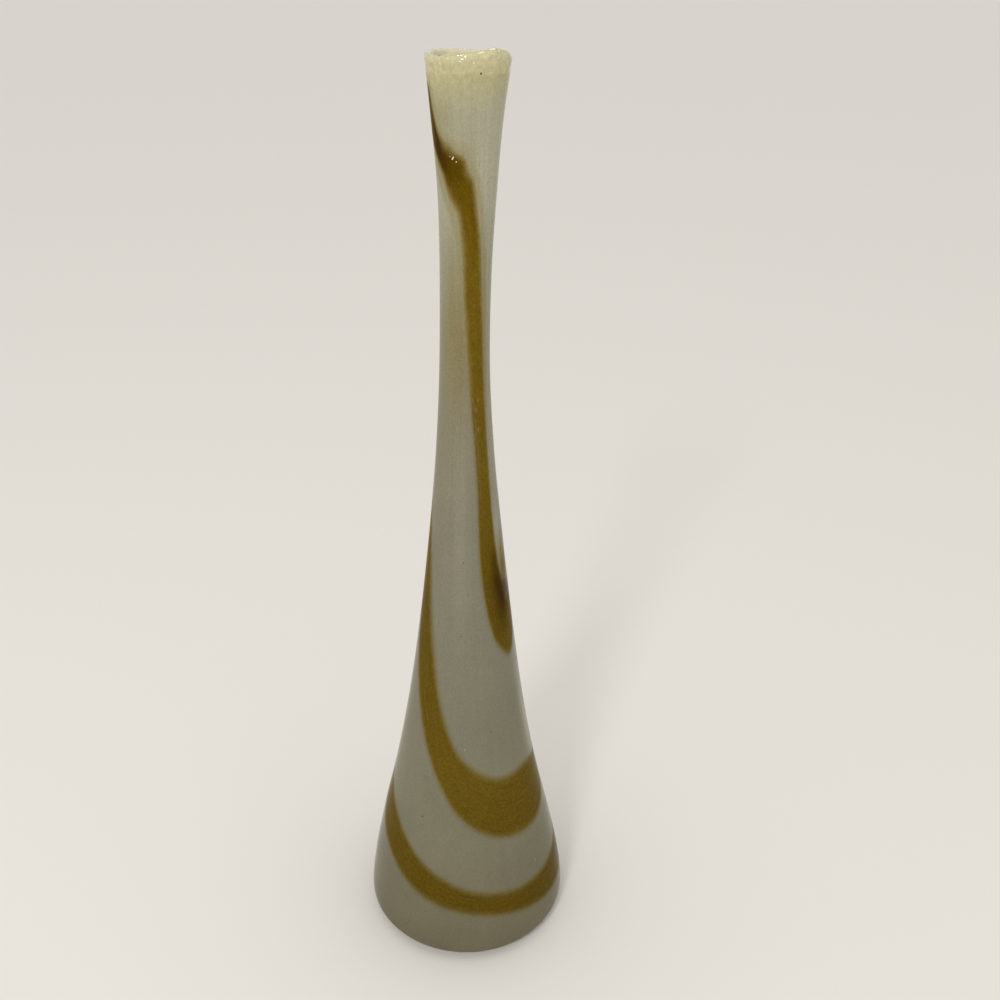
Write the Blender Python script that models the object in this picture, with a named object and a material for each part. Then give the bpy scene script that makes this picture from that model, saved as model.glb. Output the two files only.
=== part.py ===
# Swung glass vase: a blown opal vessel, drawn out into a long neck while it was hot,
# with an amber trail pressed into its outer face and a clearer, wavy lip.
# Metres, +Z up. The origin is at the middle of the standing ring, on the surface below it.
# Angles run round the axis from the front, which looks along -Y, towards +X.

import math

import bmesh
import bpy
import numpy as np

# Heights above the surface that the vase stands on, and of the flare from the neck to the mouth
vase_height = 0.455
flare_height = 0.105
belly_height = 0.008
bowl_height = 0.048
floor_height = 0.017

# Radii of the outer face
belly_radius = 0.0546
neck_radius = 0.01125
mouth_radius = 0.0178

# The underside: how far the heel turns in from the belly to the ground standing ring, the
# ring's width, the rise inside it, and the ground pontil mark in the middle
heel_width = 0.016
foot_ring_width = 0.006
kick_height = 0.0035
pontil_radius = 0.011
pontil_depth = 0.0012

# Thickness of the wall at the belly, in the neck and at the top
belly_wall = 0.0046
neck_wall = 0.0030
mouth_wall = 0.0026

# The lip: its height, the height of its round top, how far its bead swells, how far below
# the top that is and how far it reaches, how far its edge rises above the vase's height,
# and how that edge tilts and waves
lip_height = 0.0066
lip_round_height = 0.0016
lip_swell = 0.00045
lip_swell_depth = 0.0026
lip_swell_reach = 0.0021
lip_rise = 0.00035
lip_tilt = 0.0015
lip_wave = 0.00155
lip_tilt_degrees = 20
lip_wave_degrees = 30

# The gap between one glass and the next, and how far the channel's cutter stands out
glass_gap = 0.0003
cutter_overrun = 0.002

# How far the middle of the vase bows to one side
bow = -0.0013

# Outer face from the belly to the neck: share of the height, share of the swell left
side_rise_shares = (0, 0.06, 0.14, 0.25, 0.38, 0.52, 0.66, 0.80, 0.90, 1)
side_swell_shares = (1, 0.945, 0.822, 0.627, 0.441, 0.289, 0.163, 0.059, 0.013, 0)
# The flare above the neck opens as a power of the rise
flare_power = 2.2
# The lip's bead swells less on its inner face
lip_inner_swell_share = 0.5
# The bow: share of the height, share of the bow reached there
bow_rise_shares = (0, 0.2, 0.4, 0.52, 0.62, 0.72, 0.8, 0.88, 0.95, 1)
bow_reach_shares = (0, 0.65, 0.55, 0.67, 0.97, 1.08, 0.8, 0.26, 0.27, 0)

# How deep the trail lies in the wall, in its middle and at its edges
trail_depth_share = 0.40
trail_edge_depth_share = 0.18
# Stations along the trail, from its start behind the belly to its end behind the mouth.
# Each has degrees round and a share of the opal wall's height for its lower edge, then for
# its upper edge. The degrees run on below zero as the trail climbs round leftwards.
trail_station_shares = (
    # first turn, low on the belly
    (196, 0.066, 196, 0.076),
    (180, 0.056, 180, 0.088),
    (150, 0.050, 150, 0.099),
    (120, 0.047, 120, 0.103),
    (90, 0.045, 90, 0.102),
    (60, 0.048, 60, 0.092),
    (30, 0.059, 30, 0.092),
    (0, 0.072, 0, 0.105),
    (-30, 0.086, -30, 0.131),
    (-60, 0.114, -60, 0.169),
    (-90, 0.142, -90, 0.204),
    # behind the belly
    (-120, 0.164, -120, 0.226),
    (-150, 0.177, -150, 0.239),
    (-180, 0.183, -180, 0.243),
    (-225, 0.183, -225, 0.241),
    (-270, 0.1745, -270, 0.233),
    # second turn, across the front and up the left side
    (-300, 0.1585, -300, 0.241),
    (-330, 0.163, -330, 0.242),
    (-360, 0.191, -360, 0.269),
    (-391, 0.259, -383, 0.323),
    (-419.5, 0.342, -398, 0.386),
    (-443.5, 0.430, -411, 0.452),
    (-455, 0.510, -426, 0.525),
    (-460, 0.552, -446, 0.588),
    # over the shoulder behind the neck and down the right side
    (-474, 0.572, -464, 0.624),
    (-490, 0.575, -488, 0.640),
    (-512, 0.563, -516, 0.628),
    (-545, 0.534, -555, 0.590),
    (-580, 0.496, -592, 0.547),
    (-610, 0.455, -620, 0.500),
    (-636, 0.413, -640, 0.463),
    (-657, 0.388, -654, 0.456),
    # the tight turn at the right, and straight up the neck
    (-677, 0.405, -660, 0.479),
    (-688, 0.433, -665, 0.508),
    (-694.5, 0.470, -669, 0.537),
    (-698.5, 0.510, -670.5, 0.565),
    (-698.5, 0.602, -668.5, 0.607),
    (-710, 0.704, -670.5, 0.704),
    (-725.5, 0.801, -677.5, 0.796),
    (-733, 0.855, -689, 0.858),
    # leftwards below the mouth and out behind it
    (-742, 0.878, -701.5, 0.893),
    (-754, 0.892, -716, 0.9165),
    (-768, 0.907, -741, 0.932),
    (-783, 0.921, -768, 0.939),
    (-797, 0.935, -777, 0.953),
    (-811, 0.947, -784, 0.974),
    (-825, 0.956, -792, 0.990),
    (-842, 0.965, -828, 0.9925),
    (-858, 0.973, -858, 0.990),
    (-870, 0.979, -870, 0.987),
)

# How finely the round and the long shapes are divided
steps_round = 48
steps_heel = 5
steps_side = 27
steps_flare = 8
steps_inside = 22
steps_bowl = 7
steps_kick = 4
steps_lip = 4
steps_arch = 6
steps_across_trail = 4
trail_rows_a_station = 3

neck_height = vase_height - flare_height
lip_seat = vase_height - lip_height
foot_radius = belly_radius - heel_width


def smooth_through(places, values, at, level_ends=False):
    """A smooth curve through values at growing places, read at one place."""
    places = np.asarray(places, dtype=float)
    values = np.asarray(values, dtype=float)
    slopes = np.gradient(values, places, axis=0)
    if level_ends:
        slopes[0] = 0
        slopes[-1] = 0
    left = int(np.clip(np.searchsorted(places, at) - 1, 0, len(places) - 2))
    span = places[left + 1] - places[left]
    t = (at - places[left]) / span
    from_left = (2 * t**3 - 3 * t**2 + 1) * values[left] + (t**3 - 2 * t**2 + t) * span * slopes[left]
    from_right = (3 * t**2 - 2 * t**3) * values[left + 1] + (t**3 - t**2) * span * slopes[left + 1]
    return from_left + from_right


def outer_radius(height):
    """Radius of the outer face: a heel, a tapering side and a flare."""
    if height < belly_height:
        rise = math.acos(1 - max(height, 0) / belly_height)
        return foot_radius + (belly_radius - foot_radius) * math.sin(rise)
    if height < neck_height:
        share = (height - belly_height) / (neck_height - belly_height)
        swell = smooth_through(side_rise_shares, side_swell_shares, share, level_ends=True)
        return neck_radius + (belly_radius - neck_radius) * swell
    share = (height - neck_height) / flare_height
    return neck_radius + (mouth_radius - neck_radius) * share**flare_power


def wall_at(height):
    """Thickness of the wall, which thins as the glass is drawn out."""
    places = (0, neck_height, lip_seat)
    return float(np.interp(height, places, (belly_wall, neck_wall, mouth_wall)))


def bow_at(height):
    """How far the axis lies to one side at a height."""
    return bow * smooth_through(bow_rise_shares, bow_reach_shares, height / vase_height, level_ends=True)


def new_piece(name, bm, glass):
    """A smooth shaded object with its own glass, made from a bmesh."""
    mesh = bpy.data.meshes.new(name)
    bm.to_mesh(mesh)
    bm.free()
    mesh.shade_smooth()
    mesh.set_sharp_from_angle(angle=math.radians(40))
    if glass:
        mesh.materials.append(glass)
    piece = bpy.data.objects.new(name, mesh)
    bpy.context.collection.objects.link(piece)
    return piece


def new_glass(name, colour, roughness, transmission):
    glass = bpy.data.materials.new(name)
    glass.use_nodes = True
    shader = glass.node_tree.nodes["Principled BSDF"]
    shader.inputs["Base Color"].default_value = (*colour, 1)
    shader.inputs["Metallic"].default_value = 0
    shader.inputs["Roughness"].default_value = roughness
    shader.inputs["Transmission Weight"].default_value = transmission
    return glass


def turned(outline, closed):
    """A bmesh turned round the axis from points of radius and height."""
    bm = bmesh.new()
    points = [bm.verts.new((radius, 0, height)) for radius, height in outline]
    lines = [bm.edges.new(pair) for pair in zip(points, points[1:])]
    if closed:
        lines.append(bm.edges.new((points[-1], points[0])))
    bmesh.ops.spin(
        bm, geom=points + lines, cent=(0, 0, 0), axis=(0, 0, 1),
        angle=math.tau, steps=steps_round, use_merge=True,
    )
    bmesh.ops.remove_doubles(bm, verts=bm.verts, dist=glass_gap / 10)
    bmesh.ops.recalc_face_normals(bm, faces=bm.faces)
    return bm


def bow_over(bm):
    """Shift every ring of a turned shape to where the bowed axis lies."""
    for vert in bm.verts:
        vert.co.x += bow_at(vert.co.z)


def underside():
    """From the pontil mark's middle out to the standing ring's inner edge."""
    ring_inner_radius = foot_radius - foot_ring_width
    points = []
    for step in range(steps_kick):
        share = step / steps_kick
        points.append((pontil_radius * share, kick_height + pontil_depth * (1 - share**2)))
    for step in range(steps_kick):
        share = step / steps_kick
        radius = pontil_radius + (ring_inner_radius - pontil_radius) * share
        points.append((radius, kick_height * math.cos(math.pi / 2 * share)))
    points.append((ring_inner_radius, 0))
    return points


def outer_face():
    """From the standing ring's outer edge up to the seat of the lip."""
    points = []
    for step in range(steps_heel):
        height = belly_height * (1 - math.cos(math.pi / 2 * step / steps_heel))
        points.append((outer_radius(height), height))
    for step in range(steps_side):
        share = (step / steps_side) ** 1.25
        height = belly_height + (neck_height - belly_height) * share
        points.append((outer_radius(height), height))
    for step in range(steps_flare + 1):
        height = neck_height + (lip_seat - neck_height) * step / steps_flare
        points.append((outer_radius(height), height))
    return points


def inner_face():
    """From the mouth down the inside to the middle of the floor."""
    points = []
    for step in range(steps_inside):
        height = lip_seat + (bowl_height - lip_seat) * step / steps_inside
        points.append((outer_radius(height) - wall_at(height), height))
    for step in range(steps_bowl + 1):
        turn = math.pi / 2 * step / steps_bowl
        height = bowl_height - (bowl_height - floor_height) * math.sin(turn)
        points.append(((outer_radius(height) - wall_at(height)) * math.cos(turn), height))
    points[-1] = (0, floor_height)
    return points


def trail_edges():
    """Evenly smoothed rows along the trail, each with its lower and upper edge."""
    stations = []
    for low_degrees, low_share, high_degrees, high_share in trail_station_shares:
        stations.append((
            math.radians(low_degrees), low_share * lip_seat,
            math.radians(high_degrees), high_share * lip_seat,
        ))
    stations = np.array(stations)
    lengths = [0]
    for before, after in zip(stations, stations[1:]):
        radius = outer_radius((before[1] + before[3]) / 2)
        step = (after - before) * (radius, 1, radius, 1)
        lengths.append(lengths[-1] + (np.hypot(step[0], step[1]) + np.hypot(step[2], step[3])) / 2)
    rows = []
    for start, end in zip(lengths, lengths[1:]):
        for part in range(trail_rows_a_station):
            at = start + (end - start) * part / trail_rows_a_station
            rows.append(smooth_through(lengths, stations, at))
    rows.append(stations[-1])
    return rows


def along_surface(step, radius):
    """A step of angle and height as a step across the glass, in metres."""
    return np.array((step[0] * radius, step[1]))


def widened(rows, distance):
    """The same rows with both edges and both ends pushed out across the glass."""
    wider = []
    for index, row in enumerate(rows):
        before = rows[max(index - 1, 0)]
        after = rows[min(index + 1, len(rows) - 1)]
        new_row = []
        for side in (0, 2):
            point = row[side:side + 2]
            other = row[2 - side:4 - side]
            radius = outer_radius(point[1])
            along = along_surface((after - before)[side:side + 2], radius)
            along /= np.linalg.norm(along)
            away = np.array((-along[1], along[0]))
            if away @ along_surface(point - other, radius) < 0:
                away = -away
            if index == 0:
                away = away - along
            if index == len(rows) - 1:
                away = away + along
            new_row += [point[0] + away[0] * distance / radius, point[1] + away[1] * distance]
        wider.append(np.array(new_row))
    return wider


def on_glass(angle, height, inward):
    """A point at some depth below the outer face, or above it where inward is negative."""
    radius = outer_radius(height) - inward
    return (radius * math.sin(angle) + bow_at(height), -radius * math.cos(angle), height)


def trail_ring(row, gap, proud):
    """The section of the trail at one row: its outer points and back along its inner ones."""
    outer = []
    inner = []
    for step in range(steps_across_trail + 1):
        share = step / steps_across_trail
        angle, height = row[:2] + (row[2:] - row[:2]) * share
        lens = 1 - (2 * share - 1) ** 2
        depth_share = trail_edge_depth_share + (trail_depth_share - trail_edge_depth_share) * lens
        outer.append(on_glass(angle, height, -proud))
        inner.append(on_glass(angle, height, wall_at(height) * depth_share + gap))
    return outer + inner[::-1]


def trail_solid(rows, gap, proud):
    """A strip that follows the glass: its first section, drawn out from row to row."""
    bm = bmesh.new()
    start = bm.faces.new([bm.verts.new(point) for point in trail_ring(rows[0], gap, proud)])
    end = start
    for row in rows[1:]:
        drawn = bmesh.ops.extrude_face_region(bm, geom=[end])["geom"]
        if end is not start:
            bmesh.ops.delete(bm, geom=[end], context="FACES_ONLY")
        end = next(item for item in drawn if isinstance(item, bmesh.types.BMFace))
        for vert, point in zip(end.verts, trail_ring(row, gap, proud)):
            vert.co = point
    bmesh.ops.recalc_face_normals(bm, faces=bm.faces)
    return bm


def make_opal_body(rows):
    glass = new_glass("opal_glass", (0.62, 0.60, 0.50), 0.12, 0)
    bm = turned(underside() + outer_face() + inner_face(), closed=False)
    bow_over(bm)
    body = new_piece("opal_body", bm, glass)
    channel = trail_solid(widened(rows, glass_gap), glass_gap, cutter_overrun)
    cutter = new_piece("trail_channel_cutter", channel, None)
    cutter.hide_render = True
    cutter.display_type = "WIRE"
    cut = body.modifiers.new("trail channel", "BOOLEAN")
    cut.operation = "DIFFERENCE"
    cut.solver = "EXACT"
    cut.object = cutter


def make_amber_swirl(rows):
    glass = new_glass("amber_glass", (0.22, 0.13, 0.01), 0.10, 0.2)
    new_piece("amber_swirl", trail_solid(rows, 0, 0), glass)


def lip_section(base):
    """Up the outer face, over the round top and back down the inner face."""
    shoulder = vase_height - lip_round_height
    outer = []
    inner = []
    for step in range(steps_lip + 1):
        height = base + (shoulder - base) * step / steps_lip
        swell = lip_swell * math.exp(-((vase_height - lip_swell_depth - height) / lip_swell_reach)**2)
        outer.append((outer_radius(height) + swell, height))
        inner.append((outer_radius(height) - wall_at(height) - swell * lip_inner_swell_share, height))
    middle = (outer[-1][0] + inner[-1][0]) / 2
    half = (outer[-1][0] - inner[-1][0]) / 2
    arch = []
    for step in range(1, steps_arch):
        turn = math.pi * step / steps_arch
        arch.append((middle + half * math.cos(turn), shoulder + lip_round_height * math.sin(turn)))
    return outer + arch + inner[::-1]


def make_clear_lip():
    """The lip's section turned, with its top lifted and lowered round the mouth."""
    glass = new_glass("clear_glass", (0.80, 0.78, 0.58), 0.06, 0.6)
    base = lip_seat + glass_gap
    bm = turned(lip_section(base), closed=True)
    for vert in bm.verts:
        angle = math.atan2(vert.co.x, -vert.co.y)
        lift = lip_rise + lip_tilt * math.cos(angle - math.radians(lip_tilt_degrees))
        lift += lip_wave * math.cos(2 * (angle - math.radians(lip_wave_degrees)))
        vert.co.x += bow_at(vert.co.z)
        vert.co.z += lift * (vert.co.z - base) / (vase_height - base)
    new_piece("clear_lip", bm, glass)


for old in list(bpy.data.objects):
    bpy.data.objects.remove(old)

trail_rows = trail_edges()
make_opal_body(trail_rows)
make_amber_swirl(trail_rows)
make_clear_lip()
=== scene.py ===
import math
import random

import bmesh
import bpy
import numpy as np
from mathutils import Matrix, Vector, noise


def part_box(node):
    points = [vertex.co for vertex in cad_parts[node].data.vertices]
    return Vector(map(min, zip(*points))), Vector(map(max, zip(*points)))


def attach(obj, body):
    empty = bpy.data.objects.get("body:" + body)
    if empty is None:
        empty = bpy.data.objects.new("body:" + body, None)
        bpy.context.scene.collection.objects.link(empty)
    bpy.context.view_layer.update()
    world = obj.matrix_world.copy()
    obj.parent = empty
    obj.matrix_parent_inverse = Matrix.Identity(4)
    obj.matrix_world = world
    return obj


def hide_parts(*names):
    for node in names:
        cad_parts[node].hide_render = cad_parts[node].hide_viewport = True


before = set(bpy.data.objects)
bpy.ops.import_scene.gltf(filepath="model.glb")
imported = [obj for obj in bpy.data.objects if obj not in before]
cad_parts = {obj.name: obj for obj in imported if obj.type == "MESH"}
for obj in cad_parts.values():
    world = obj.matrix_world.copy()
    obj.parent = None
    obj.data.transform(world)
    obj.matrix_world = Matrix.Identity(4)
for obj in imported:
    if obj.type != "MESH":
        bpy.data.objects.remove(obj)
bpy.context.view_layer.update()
bodyLow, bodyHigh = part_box("opal_body")
print("frame loaded")

# The vase's shape in metres, as its solids have it. Heights are above the standing ring, and
# angles run round the axis from the front, which looks along -Y, towards +X.
vase = {
    "height": 0.455,
    "lipSeat": bodyHigh.z,
    "neckHeight": 0.350,
    "bellyHeight": 0.008,
    "bowlHeight": 0.048,
    "floorHeight": 0.017,
    "bellyRadius": (bodyHigh.y - bodyLow.y) / 2,
    "heelWidth": 0.016,
    "neckRadius": 0.01125,
    "mouthRadius": 0.0178,
    "flarePower": 2.2,
    "sideRise": (0, 0.06, 0.14, 0.25, 0.38, 0.52, 0.66, 0.80, 0.90, 1),
    "sideSwell": (1, 0.945, 0.822, 0.627, 0.441, 0.289, 0.163, 0.059, 0.013, 0),
    "bellyWall": 0.0046,
    "neckWall": 0.0030,
    "mouthWall": 0.0026,
    "bow": -0.0013,
    "bowRise": (0, 0.2, 0.4, 0.52, 0.62, 0.72, 0.8, 0.88, 0.95, 1),
    "bowReach": (0, 0.65, 0.55, 0.67, 0.97, 1.08, 0.8, 0.26, 0.27, 0),
    "tableSteps": 4550,
    "stepsRound": 240,
    "mergeDistance": 0.00001,
}
creaseAngle = math.radians(40)


def eased(share):
    # from none to one with a level start and end
    return share * share * (3 - 2 * share)


def shareBetween(values, low, high):
    return np.clip((values - low) / (high - low), 0, 1)


def turnFrom(angles, middle):
    # angles as seen from a middle one, up to half a turn each way
    return (angles - middle + math.pi) % math.tau - math.pi


def smoothThrough(places, values, at, levelEnds=False):
    # a smooth curve through values at growing places, read at one place
    places = np.asarray(places, dtype=float)
    values = np.asarray(values, dtype=float)
    slopes = np.gradient(values, places, axis=0)
    if levelEnds:
        slopes[0] = 0
        slopes[-1] = 0
    left = int(np.clip(np.searchsorted(places, at) - 1, 0, len(places) - 2))
    span = places[left + 1] - places[left]
    t = (at - places[left]) / span
    # a cubic with the two values and the two slopes at its ends
    fromLeft = (2 * t**3 - 3 * t**2 + 1) * values[left] + (t**3 - 2 * t**2 + t) * span * slopes[left]
    fromRight = (3 * t**2 - 2 * t**3) * values[left + 1] + (t**3 - t**2) * span * slopes[left + 1]
    return fromLeft + fromRight


def outerRadius(height):
    # a quarter ellipse at the heel, the drawn side, then the flare as a power of the rise
    footRadius = vase["bellyRadius"] - vase["heelWidth"]
    if height < vase["bellyHeight"]:
        rise = math.acos(1 - max(height, 0) / vase["bellyHeight"])
        return footRadius + vase["heelWidth"] * math.sin(rise)
    if height < vase["neckHeight"]:
        share = (height - vase["bellyHeight"]) / (vase["neckHeight"] - vase["bellyHeight"])
        swell = smoothThrough(vase["sideRise"], vase["sideSwell"], share, levelEnds=True)
        return vase["neckRadius"] + (vase["bellyRadius"] - vase["neckRadius"]) * swell
    share = (height - vase["neckHeight"]) / (vase["height"] - vase["neckHeight"])
    return vase["neckRadius"] + (vase["mouthRadius"] - vase["neckRadius"]) * share ** vase["flarePower"]


# the same curves as tables, which are much quicker to read
tableHeights = np.linspace(0, vase["height"], vase["tableSteps"] + 1)
tableRadii = np.array([outerRadius(height) for height in tableHeights])
tableBows = vase["bow"] * np.array([
    smoothThrough(vase["bowRise"], vase["bowReach"], height / vase["height"], levelEnds=True)
    for height in tableHeights
])


def radiusAt(height):
    return np.interp(height, tableHeights, tableRadii)


def bowAt(height):
    return np.interp(height, tableHeights, tableBows)


def wallAt(height):
    places = (0, vase["neckHeight"], vase["lipSeat"])
    return np.interp(height, places, (vase["bellyWall"], vase["neckWall"], vase["mouthWall"]))


# How uneven the blown surface is: slow hollows all over, fine drawn lines, and the lump where
# the trail twists over on itself below the mouth
unevenness = {
    "hollowDepth": 0.00013,
    "hollowsRound": 1.3,
    "hollowLength": 0.045,
    "lineDepth": 0.00003,
    "linesRound": 7,
    "lineLength": 0.15,
    "lineShift": 5,
    "twistAngle": math.radians(-24),
    "twistHeight": 0.4105,
    "twistRise": 0.0005,
    "twistReach": 0.0034,
    "twistStretch": 1.5,
}


def dentAt(angle, height):
    # how far the real surface lies inside the true turned one
    u = unevenness
    shift = u["lineShift"]
    outwards = Vector((math.sin(angle), -math.cos(angle), 0))
    slow = noise.noise(outwards * u["hollowsRound"] + Vector((0, 0, height / u["hollowLength"])))
    lines = noise.noise(outwards * u["linesRound"] + Vector((shift, shift, height / u["lineLength"])))
    sideways = math.remainder(angle - u["twistAngle"], math.tau) * vase["neckRadius"]
    upwards = (height - u["twistHeight"]) / u["twistStretch"]
    bump = u["twistRise"] * math.exp(-((math.hypot(sideways, upwards) / u["twistReach"]) ** 2))
    return u["hollowDepth"] * (1 + slow) / 2 + u["lineDepth"] * (1 + lines) / 2 - bump


def onGlass(angle, height, inward):
    # a point of the wall's outer face, or one a little inward of it
    radius = radiusAt(height) - dentAt(angle, height) - inward
    return Vector((radius * math.sin(angle) + bowAt(height), -radius * math.cos(angle), height))


# The amber trail. Each station has degrees round and a share of the wall's height for the
# lower edge, then for the upper edge, as in the solid. The degrees run on as it climbs.
trail = {
    "stations": (
        (196, 0.066, 196, 0.076),
        (180, 0.056, 180, 0.088),
        (150, 0.050, 150, 0.099),
        (120, 0.047, 120, 0.103),
        (90, 0.045, 90, 0.102),
        (60, 0.048, 60, 0.092),
        (30, 0.059, 30, 0.092),
        (0, 0.072, 0, 0.105),
        (-30, 0.086, -30, 0.131),
        (-60, 0.114, -60, 0.169),
        (-90, 0.142, -90, 0.204),
        (-120, 0.164, -120, 0.226),
        (-150, 0.177, -150, 0.239),
        (-180, 0.183, -180, 0.243),
        (-225, 0.183, -225, 0.241),
        (-270, 0.1745, -270, 0.233),
        (-300, 0.1585, -300, 0.241),
        (-330, 0.163, -330, 0.242),
        (-360, 0.191, -360, 0.269),
        (-391, 0.259, -383, 0.323),
        (-419.5, 0.342, -398, 0.386),
        (-443.5, 0.430, -411, 0.452),
        (-455, 0.510, -426, 0.525),
        (-460, 0.552, -446, 0.588),
        (-474, 0.572, -464, 0.624),
        (-490, 0.575, -488, 0.640),
        (-512, 0.563, -516, 0.628),
        (-545, 0.534, -555, 0.590),
        (-580, 0.496, -592, 0.547),
        (-610, 0.455, -620, 0.500),
        (-636, 0.413, -640, 0.463),
        (-657, 0.388, -654, 0.456),
        (-677, 0.405, -660, 0.479),
        (-688, 0.433, -665, 0.508),
        (-694.5, 0.470, -669, 0.537),
        (-698.5, 0.510, -670.5, 0.565),
        (-698.5, 0.602, -668.5, 0.607),
        (-710, 0.704, -670.5, 0.704),
        (-725.5, 0.801, -677.5, 0.796),
        (-733, 0.855, -689, 0.858),
        (-742, 0.878, -701.5, 0.893),
        (-754, 0.892, -716, 0.9165),
        (-768, 0.907, -741, 0.932),
        (-783, 0.921, -768, 0.939),
        (-797, 0.935, -777, 0.953),
        (-811, 0.947, -784, 0.974),
        (-825, 0.956, -792, 0.990),
        (-842, 0.965, -828, 0.9925),
        (-858, 0.973, -858, 0.990),
        (-870, 0.979, -870, 0.987),
    ),
    "rowsAStation": 8,
    "pointsAcross": 24,
    # how deep its back lies, as a share of the wall, in its middle and at its edges
    "depthShare": 0.40,
    "edgeDepthShare": 0.18,
    # its face stands a little proud and dips under the wall's at its edges
    "proud": 0.00004,
    "sunkEdge": 0.00004,
    "edgeSlope": 0.0009,
    # by height, how wide the colour fades at the lower edge and at the upper edge
    "fades": (
        (0.050, 0.0066, 0.0066),
        (0.090, 0.0068, 0.0072),
        (0.130, 0.0070, 0.0075),
        (0.190, 0.0062, 0.0069),
        (0.220, 0.0066, 0.0052),
        (0.250, 0.0044, 0.0032),
        (0.310, 0.0039, 0.0026),
        (0.360, 0.0041, 0.0039),
        (0.385, 0.0050, 0.0037),
        (0.405, 0.0069, 0.0052),
        (0.425, 0.0052, 0.0070),
        (0.440, 0.0035, 0.0045),
    ),
    "endFade": 0.012,
    # by height, how far the colour has risen at the edge itself
    "edgeHeights": (0.22, 0.30),
    "edgeRises": (0.39, 0.345),
    # soft places: degrees round, height, reach across and up, and strength. In the first the
    # amber is dense and dark, in the second its edge spreads, in the third it stains the opal,
    # and its long one in the neck is painted amber light shining through from the trail behind.
    "darkPlaces": (
        (46, 0.2300, 0.0026, 0.0065, 0.50),
        (49, 0.2185, 0.0036, 0.0075, 0.72),
        (56, 0.2080, 0.0044, 0.0080, 0.72),
        (70, 0.2140, 0.0040, 0.0110, 0.60),
        (56, 0.1975, 0.0046, 0.0090, 0.40),
        (-42, 0.4160, 0.0046, 0.0110, 0.60),
        (-58, 0.4237, 0.0034, 0.0120, 0.60),
        (-70, 0.4349, 0.0030, 0.0120, 0.50),
        (-16, 0.4110, 0.0034, 0.0040, 0.30),
    ),
    "spreadPlaces": (
        (10, 0.4065, 0.0030, 0.0060, 0.26),
        (-8, 0.4140, 0.0030, 0.0040, 0.18),
        (-12, 0.4162, 0.0042, 0.0032, 0.36),
        (-41, 0.4222, 0.0070, 0.0046, 0.56),
        (-62, 0.4275, 0.0022, 0.0070, 0.22),
        (-36, 0.4025, 0.0030, 0.0060, 0.17),
        (74, 0.2120, 0.0050, 0.0120, 1.15),
    ),
    "stainAndGlowPlaces": (
        (-46, 0.4330, 0.0090, 0.0110, 0.26),
        (-5, 0.4180, 0.0065, 0.0070, 0.26),
        # painted amber light, shining through from the trail behind the neck
        (-16, 0.3430, 0.0105, 0.0560, 0.40),
        (66, 0.2350, 0.0040, 0.0110, 0.34),
        (72, 0.2210, 0.0050, 0.0100, 0.66),
        (80, 0.2280, 0.0016, 0.0080, 0.40),
    ),
    # a thin dark seam along its lower edge in the neck
    "seamHeights": (0.243, 0.252, 0.305, 0.318),
    "seamPlace": 0.0010,
    "seamWidth": 0.00035,
    "seamDarkness": 0.8,
    # a weak stain on the opal along the trail in the neck
    "haloHeights": (0.27, 0.32),
    "haloRise": 0.34,
    "haloFrom": -0.7,
    "haloFull": 0.1,
    # the dark places darken only where the colour has risen this far
    "darkFrom": 0.5,
    "darkFull": 0.9,
}
fadeHeights, lowFades, highFades = zip(*trail["fades"])


def trailRows():
    # close rows of both edges along the trail, and how far along it each row lies
    stations = []
    for lowDegrees, lowShare, highDegrees, highShare in trail["stations"]:
        stations.append((
            math.radians(lowDegrees), lowShare * vase["lipSeat"],
            math.radians(highDegrees), highShare * vase["lipSeat"],
        ))
    stations = np.array(stations)
    lengths = [0]
    for before, after in zip(stations, stations[1:]):
        radius = radiusAt((before[1] + before[3]) / 2)
        step = (after - before) * (radius, 1, radius, 1)
        lengths.append(lengths[-1] + (np.hypot(step[0], step[1]) + np.hypot(step[2], step[3])) / 2)
    rows = []
    places = []
    for start, end in zip(lengths, lengths[1:]):
        for part in range(trail["rowsAStation"]):
            at = start + (end - start) * part / trail["rowsAStation"]
            rows.append(smoothThrough(lengths, stations, at))
            places.append(at)
    rows.append(stations[-1])
    places.append(lengths[-1])
    return rows, places


def strengthAt(places, angles, heights):
    # how strongly all the soft places together reach each point
    total = 0
    for degrees, height, reachAcross, reachUp, strength in places:
        sideways = turnFrom(angles, math.radians(degrees)) * radiusAt(heights) / reachAcross
        total = total + strength * np.exp(-sideways**2 - ((heights - height) / reachUp) ** 2)
    return total


def distanceToLine(x, y, start, end):
    # least distance from points to one straight piece of an edge
    along = end - start
    share = ((x - start[0]) * along[0] + (y - start[1]) * along[1]) / (along @ along)
    share = np.clip(share, 0, 1)
    return np.hypot(x - start[0] - share * along[0], y - start[1] - share * along[1])


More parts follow.
